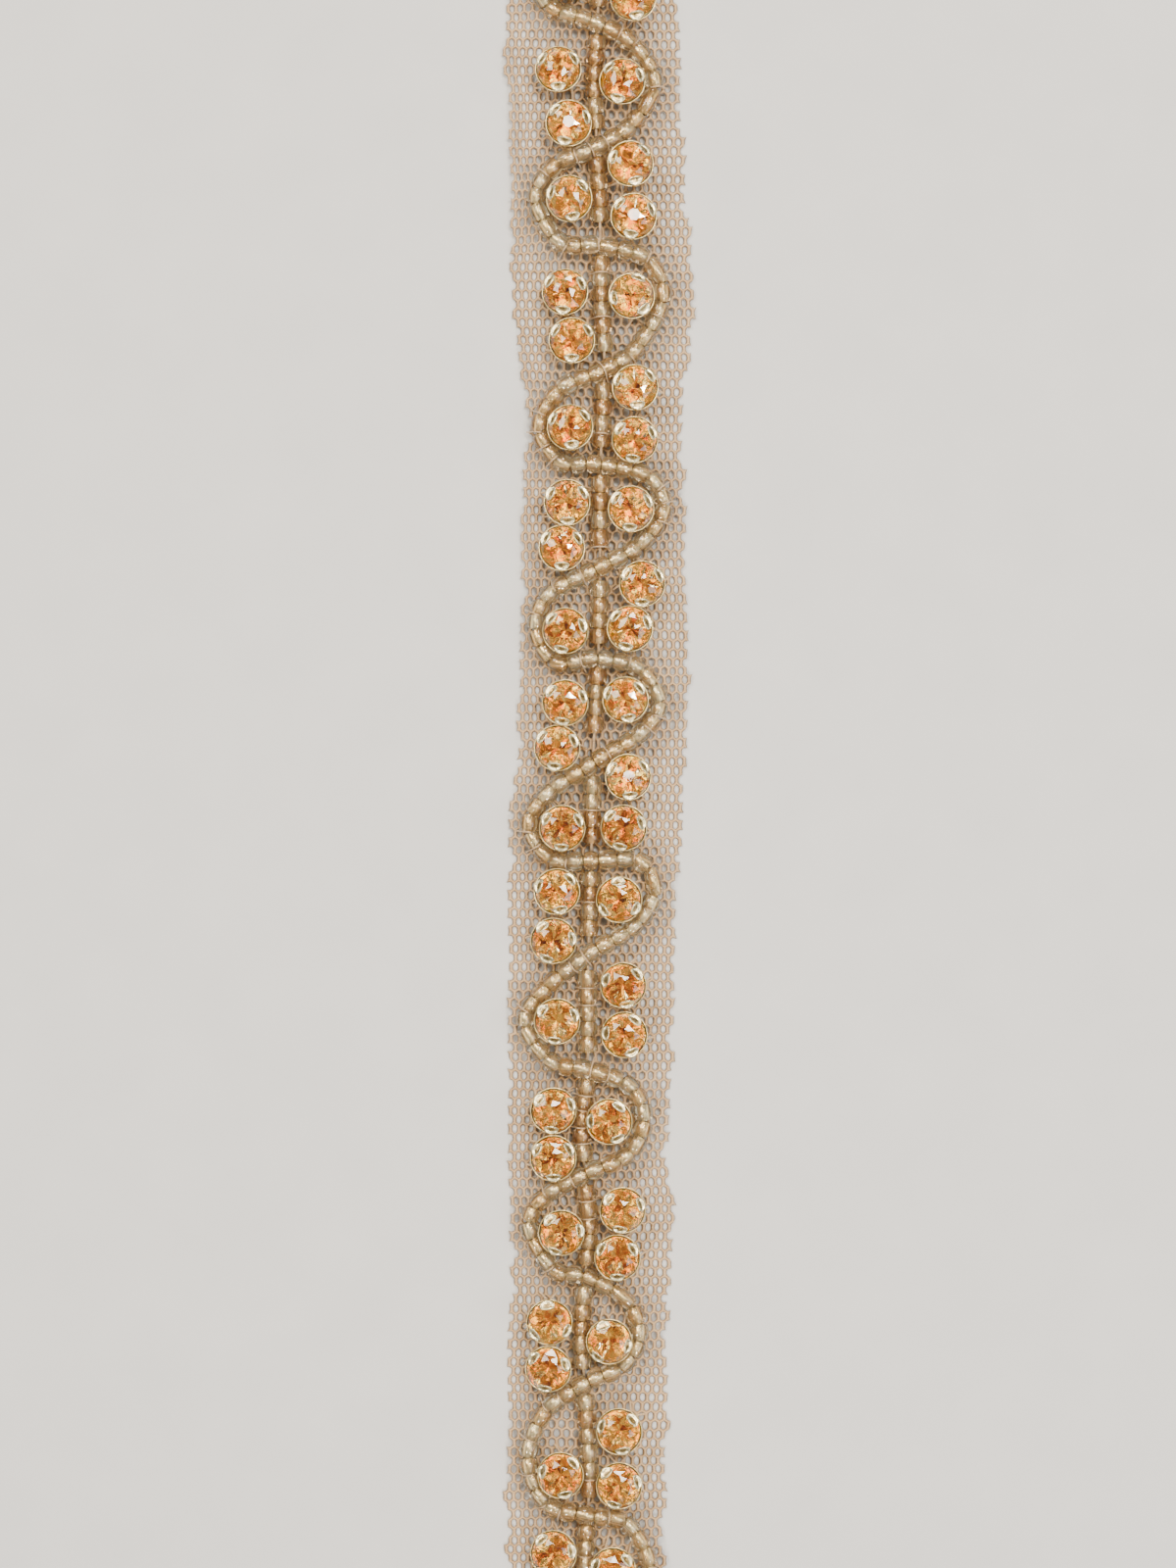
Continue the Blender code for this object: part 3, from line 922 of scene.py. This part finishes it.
# %% Make the cup and its claws
CUP_SIDES = 36
CUP_PROFILE = (
    # radius and height above the net, in millimetres
    (0.5, 0.0), (1.35, 0.0), (1.55, 0.14), (1.74, 1.05), (2.28, 2.08), (2.36, 2.2),
    (2.37, 2.3), (2.32, 2.37), (2.26, 2.32), (2.22, 2.2), (1.64, 1.15), (1.42, 0.25), (0.5, 0.25),
)
CUP_SHAPE = turned_shape([(radius * MM, height * MM) for radius, height in CUP_PROFILE], CUP_SIDES)
LEAF_HALF_LENGTH = 0.8 * MM
LEAF_HALF_WIDTH = 0.5 * MM
LEAF_DISH = 0.2 * MM
LEAF_WRAP = 0.12 * MM
LEAF_TAPER = 0.6
LEAF_MIDDLE = 0.3 * LEAF_WRAP
LEAF_THICKNESS = 0.1 * MM
LEAF_RADIUS = 1.95 * MM
LEAF_SLOPE = math.radians(33)
LEAF_LIFT = 0.5 * MM
# The leaf's painted shade fills its hollow out to here, then fades into its painted highlight.
HOLLOW_EDGE = 0.3
HOLLOW_FADE = 0.35
CUP_TONE = 0.55
STRAP_HALF_WIDTH = 0.3 * MM
STRAP_PROFILE = (
    # radius and height above the net, in millimetres
    (1.88, 1.3), (2.22, 1.85), (2.38, 2.14), (2.45, 2.36), (2.42, 2.54), (2.28, 2.64),
)
CLAW_COUNT = 3


def claw_leaf(made):
    """A dished leaf with a rolled edge, its length along Y and its outer side along X."""
    bmesh.ops.create_grid(made, x_segments=8, y_segments=12, size=1.0)
    for corner in made.verts:
        wide, along = corner.co.x, corner.co.y
        taper = (1 - along**2) ** LEAF_TAPER if abs(along) < 1 else 0.0
        dish = (1 - wide**4) * (1 - along**4)
        corner.co = (
            LEAF_HALF_WIDTH * wide * taper - LEAF_WRAP * along**2,
            LEAF_HALF_LENGTH * along,
            -LEAF_WRAP * along**2 - LEAF_DISH * dish,
        )
    bmesh.ops.remove_doubles(made, verts=made.verts, dist=1e-6)
    bmesh.ops.recalc_face_normals(made, faces=made.faces)
    bmesh.ops.solidify(made, geom=made.faces[:], thickness=LEAF_THICKNESS)


def claw_strap(made):
    """The strip that rises from the cup's wall, round its rim, to the leaf."""
    left, right = (
        [made.verts.new((radius * MM, side, height * MM)) for radius, height in STRAP_PROFILE]
        for side in (-STRAP_HALF_WIDTH, STRAP_HALF_WIDTH)
    )
    for step in range(len(STRAP_PROFILE) - 1):
        made.faces.new((left[step], left[step + 1], right[step + 1], right[step]))
    bmesh.ops.recalc_face_normals(made, faces=made.faces)
    bmesh.ops.solidify(made, geom=made.faces[:], thickness=LEAF_THICKNESS)


def leaf_painted_light():
    """Painted shade in the leaf's hollow and a painted highlight on its edge, for each face."""
    points, faces = LEAF_SHAPE
    tones = []
    for face in faces:
        x, y, _ = points[face].mean(axis=0)
        out = math.hypot((x + LEAF_MIDDLE) / LEAF_HALF_WIDTH, y / LEAF_HALF_LENGTH)
        tones.append(eased((out - HOLLOW_EDGE) / HOLLOW_FADE))
    return tones


def pale_gold(name, roughness):
    """Plated brass with shallow dents, darker at tone 0 and lighter at tone 1, the claws' tones
    being painted shade and a painted highlight.
    """
    metal = Finish(name, Metallic=1.0)
    wear = metal.speckle(2.5, detail=3.0)
    # On the claws the tone is painted shade in the hollow and a painted highlight on the edge; the
    # noise is real wear.
    painted_sheen_and_wear = 0.8 * metal.tone() + 0.2 * wear
    colour = metal.ramp(
        painted_sheen_and_wear,
        (0.1, (0.50, 0.36, 0.16)),
        (0.5, (0.84, 0.64, 0.30)),
        (0.9, (1.0, 0.91, 0.58)),
    )
    dents = metal.bump(metal.speckle(1.4), 0.06 * MM)
    return metal.paint(Base_Color=colour, Roughness=roughness + 0.15 * wear, Normal=dents)


LEAF_SHAPE = shape_of(claw_leaf)
STRAP_SHAPE = shape_of(claw_strap)
strap_places, leaf_places = [], []
to_rim = Matrix.Translation((LEAF_RADIUS, 0.0, GIRDLE_HEIGHT + LEAF_LIFT))
for place in SEATS:
    for claw in range(CLAW_COUNT):
        around = place @ Matrix.Rotation(math.tau * claw / CLAW_COUNT, 4, "Z")
        strap_places.append(around)
        leaf_places.append(around @ to_rim @ Matrix.Rotation(LEAF_SLOPE, 4, "Y"))
cup_gold = pale_gold("cup_gold", 0.25)
cup_tones = [CUP_TONE] * len(leaf_places)
cups = stamped("setting_cups", CUP_SHAPE, SEATS, cup_tones, cup_gold)
straps = stamped("claw_straps", STRAP_SHAPE, strap_places, cup_tones, cup_gold)
# The claws' tones paint shade in each leaf's hollow and a highlight on its edge.
claw_painted_light = [leaf_painted_light()] * len(leaf_places)
claws = stamped("setting_claws", LEAF_SHAPE, leaf_places, claw_painted_light, pale_gold("claw_gold", 0.2))
print(len(leaf_places), "claws on", len(SEATS), "cups")

# %% [markdown]
# Everything is sewn with one beige thread. It shows beside the cups, through the gaps in the
# spine and, from below, as long runs on the back of the net that follow the beads. A tube mesh
# would need its own rings, and a curve with a round bevel is a thread already. So each kind of
# stitch is one curve with a spline for each run.

# %% Sew it all down
THREAD_RADIUS = 0.1 * MM
COUCHING_RADIUS = 0.07 * MM
CORE_RADIUS = 0.13 * MM
BACK_THREAD_RADIUS = 0.2 * MM
STITCHES_A_CUP = 4
CUP_STITCH = (
    # swing round the cup in radians, and radius and height in millimetres
    (-0.34, 2.85, -0.15), (-0.2, 2.25, 0.25), (0.0, 1.75, 0.75), (0.2, 2.25, 0.25),
    (0.34, 2.85, -0.15),
)
COUCHING = (
    # distance to the side of the row and height over its thread, in bead radii
    (1.3, -1.1), (0.82, -0.35), (0.55, 0.5), (0.0, 0.76), (-0.55, 0.5), (-0.82, -0.35),
    (-1.3, -1.1),
)
COUCHED_SHARE = 0.3
CORE_STEP = 0.6 * MM
CORE_SINKS_PAST = 1.0 * MM
BACK_MARGIN = 0.8 * MM
BACK_STITCH = 2.3 * MM
BACK_SWING = 0.28 * MM
BACK_UNEVEN = 0.06 * MM
WINDING_BACK = 0.26 * MM
SPINE_BACK = 0.24 * MM
CUP_BACK = 0.42 * MM
CROSS_STITCH = (
    # place across and along from a cup's middle, in millimetres
    (-1.2, -0.9), (1.2, 0.9), (-1.0, 1.1), (1.0, -1.1),
)
sewing_luck = random.Random(8)


def beige_thread():
    """Twisted thread, its fibres lighter and darker."""
    thread = Finish("beige_thread", Roughness=0.6, Sheen_Weight=0.3)
    fibres = thread.speckle(7.0, detail=3.0)
    colour = thread.ramp(fibres, (0.3, (0.40, 0.26, 0.14)), (0.7, (0.70, 0.52, 0.32)))
    return thread.paint(Base_Color=colour, Normal=thread.bump(fibres, 0.03 * MM))


def stitches(name, runs, radius, finish):
    """One curve object with a smooth spline through each run of points."""
    curve = bpy.data.curves.new(name, "CURVE")
    curve.dimensions = "3D"
    curve.bevel_depth = radius
    curve.bevel_resolution = 2
    curve.resolution_u = 4
    curve.use_fill_caps = True
    for run in runs:
        spline = curve.splines.new("NURBS")
        spline.points.add(len(run) - 1)
        for point, place in zip(spline.points, run):
            point.co = (*place, 1.0)
        spline.order_u = 3
        spline.use_endpoint_u = True
    curve.materials.append(finish.material)
    piece = bpy.data.objects.new(name, curve)
    bpy.context.collection.objects.link(piece)
    return piece


def cup_stitch(place, angle):
    """A thread from the net beside a cup, up against its wall and into the net again."""
    run = []
    for swing, radius, height in CUP_STITCH:
        local = Vector((math.cos(angle + swing), math.sin(angle + swing), 0.0)) * radius * MM
        local.z = height * MM
        run.append(place @ local)
    return run


def couching(bead):
    """A stitch over the row's thread just past a bead, into the net on both sides."""
    centre, heading, length, _ = bead
    joint = Vector(centre + heading * (length + THREAD_SLACK) / 2)
    side = Vector((-heading[1], heading[0], 0.0)).normalized()
    up = Vector(heading).cross(side)
    return [joint + (side * out + up * rise) * BEAD_RADIUS for out, rise in COUCHING]


def core_run(route, beads):
    """The thread through a row's beads, sunk to the net where the row leaves a gap."""
    centres = np.array([bead[0] for bead in beads])
    run = []
    for along in np.arange(0.0, route.length, CORE_STEP):
        place = route.at(along)
        gap = np.linalg.norm(centres - place, axis=1).min()
        place[2] -= eased((gap - CORE_SINKS_PAST) / MM) * (BEAD_RADIUS - CORE_RADIUS)
        run.append(tuple(place))
    return run


def back_run(route, height):
    """The thread on the net's back, stitch by stitch from side to side of a row."""
    run = []
    pricks = np.arange(BACK_MARGIN, route.length - BACK_MARGIN, BACK_STITCH)
    for step, along in enumerate(pricks):
        x, y, _ = route.at(along)
        heading = route.heading(along)
        side = (-1) ** step * BACK_SWING
        z = height + sewing_luck.uniform(0, BACK_UNEVEN)
        run.append((x - heading[1] * side, y + heading[0] * side, z))
    return run


thread = beige_thread()
cup_runs = []
for place in SEATS:
    first = sewing_luck.uniform(0, math.tau)
    angles = [first + math.tau * turn / STITCHES_A_CUP for turn in range(STITCHES_A_CUP)]
    cup_runs += [cup_stitch(place, angle) for angle in angles]
couched = [bead for bead in winding_beads + spine_beads if sewing_luck.random() < COUCHED_SHARE]
core_runs = [core_run(winding, winding_beads), core_run(spine, spine_beads)]
back_runs = [back_run(winding, WINDING_BACK), back_run(spine, SPINE_BACK)]
for centre, _ in STONES:
    cross = [(centre.x + x * MM, centre.y + y * MM, CUP_BACK) for x, y in CROSS_STITCH]
    back_runs.append(cross)
threads = [
    stitches("cup_stitches", cup_runs, THREAD_RADIUS, thread),
    stitches("couching_stitches", [couching(bead) for bead in couched], COUCHING_RADIUS, thread),
    stitches("bead_threads", core_runs, CORE_RADIUS, thread),
    stitches("back_threads", back_runs, BACK_THREAD_RADIUS, thread),
]
print(len(cup_runs), "stitches at the cups,", len(couched), "over the bead rows")

# %% [markdown]
# A pale, even floor and broad soft lamps show the work plainly. Faceted glass needs something
# to mirror as well, so a few small lamps stand among the large ones, as on a jeweller's bench.

# %% Set the floor, the lamps and the camera
WARM = (1.0, 0.90, 0.76)
COOL = (0.95, 0.97, 1.0)
LAMPS = (
    # name, place and size in metres, watts and colour
    ("ceiling_lamp", (0.09, 0.13, 0.58), 0.14, 2.1, WARM),
    ("key_lamp", (-0.26, 0.24, 0.42), 0.24, 2.1, WARM),
    ("fill_lamp", (0.34, -0.12, 0.38), 0.30, 0.9, COOL),
    ("rear_lamp", (0.05, 0.42, 0.30), 0.10, 1.0, WARM),
    ("spark_lamp_left", (-0.16, -0.22, 0.36), 0.035, 0.8, WARM),
    ("spark_lamp_right", (0.14, 0.10, 0.40), 0.035, 0.8, WARM),
    ("spark_lamp_front", (0.10, -0.26, 0.30), 0.03, 0.7, WARM),
)
SKY_COLOUR = (0.62, 0.61, 0.60, 1.0)
SKY_STRENGTH = 0.42
FLOOR_HALF_SIDE = 1.5


def pale_floor():
    """A pale matt board with a faint grain."""
    board = Finish("pale_board", Roughness=0.85)
    grain = board.speckle(0.12, detail=5.0)
    colour = board.ramp(grain, (0.3, (0.62, 0.63, 0.64)), (0.7, (0.65, 0.66, 0.67)))
    return board.paint(Base_Color=colour)


def lamp(name, place, size, watts, colour):
    """A round soft lamp that faces the middle of the trim."""
    light = bpy.data.lights.new(name, "AREA")
    light.shape = "DISK"
    light.size = size
    light.energy = watts
    light.color = colour
    holder = bpy.data.objects.new(name, light)
    holder.location = place
    holder.rotation_euler = (-Vector(place)).to_track_quat("-Z", "Y").to_euler()
    bpy.context.collection.objects.link(holder)


floor_mesh = bpy.data.meshes.new("floor")
floor_shape = bmesh.new()
bmesh.ops.create_grid(floor_shape, x_segments=1, y_segments=1, size=FLOOR_HALF_SIDE)
floor_shape.to_mesh(floor_mesh)
floor_shape.free()
floor_mesh.materials.append(pale_floor().material)
floor = bpy.data.objects.new("floor", floor_mesh)
bpy.context.collection.objects.link(floor)

for row in LAMPS:
    lamp(*row)
world = bpy.data.worlds.new("studio")
world.use_nodes = True
sky = world.node_tree.nodes["Background"]
sky.inputs["Color"].default_value = SKY_COLOUR
sky.inputs["Strength"].default_value = SKY_STRENGTH
bpy.context.scene.world = world

LENS = 70.0
SENSOR = 36.0
VIEW_HEIGHT = 160 * MM
VIEW_CENTRE = (-1.2 * MM, 0.4 * MM)
camera_data = bpy.data.cameras.new("camera")
camera_data.lens = LENS
camera_data.sensor_width = SENSOR
camera_data.clip_start = 0.01
camera = bpy.data.objects.new("camera", camera_data)
camera.location = (*VIEW_CENTRE, STONE_TOP / 2 + VIEW_HEIGHT * LENS / SENSOR)
bpy.context.collection.objects.link(camera)
bpy.context.scene.camera = camera
print("camera", round(camera.location.z, 3), "m above the trim")

# %% [markdown]
# The pieces now stand for the imported ones: each is attached to the root body, and the imported
# net, bead rows and stones are hidden. A table lists the finish of the record that each piece
# wears, but the loop doesn't use it.

# %% Tie the pieces to the imported model
finishes = {net: "net", crystals: "crystal", foils: "crystal"}
finishes.update({piece: "setting" for piece in (cups, straps, claws)})
finishes.update({piece: "seed_beads" for piece in bead_pieces})
finishes.update({piece: "thread" for piece in threads})
for piece, slot in finishes.items():
    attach(piece, "root")
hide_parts("net_ribbon")
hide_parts("winding_beads")
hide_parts("spine_beads")
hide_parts(*stone_nodes)
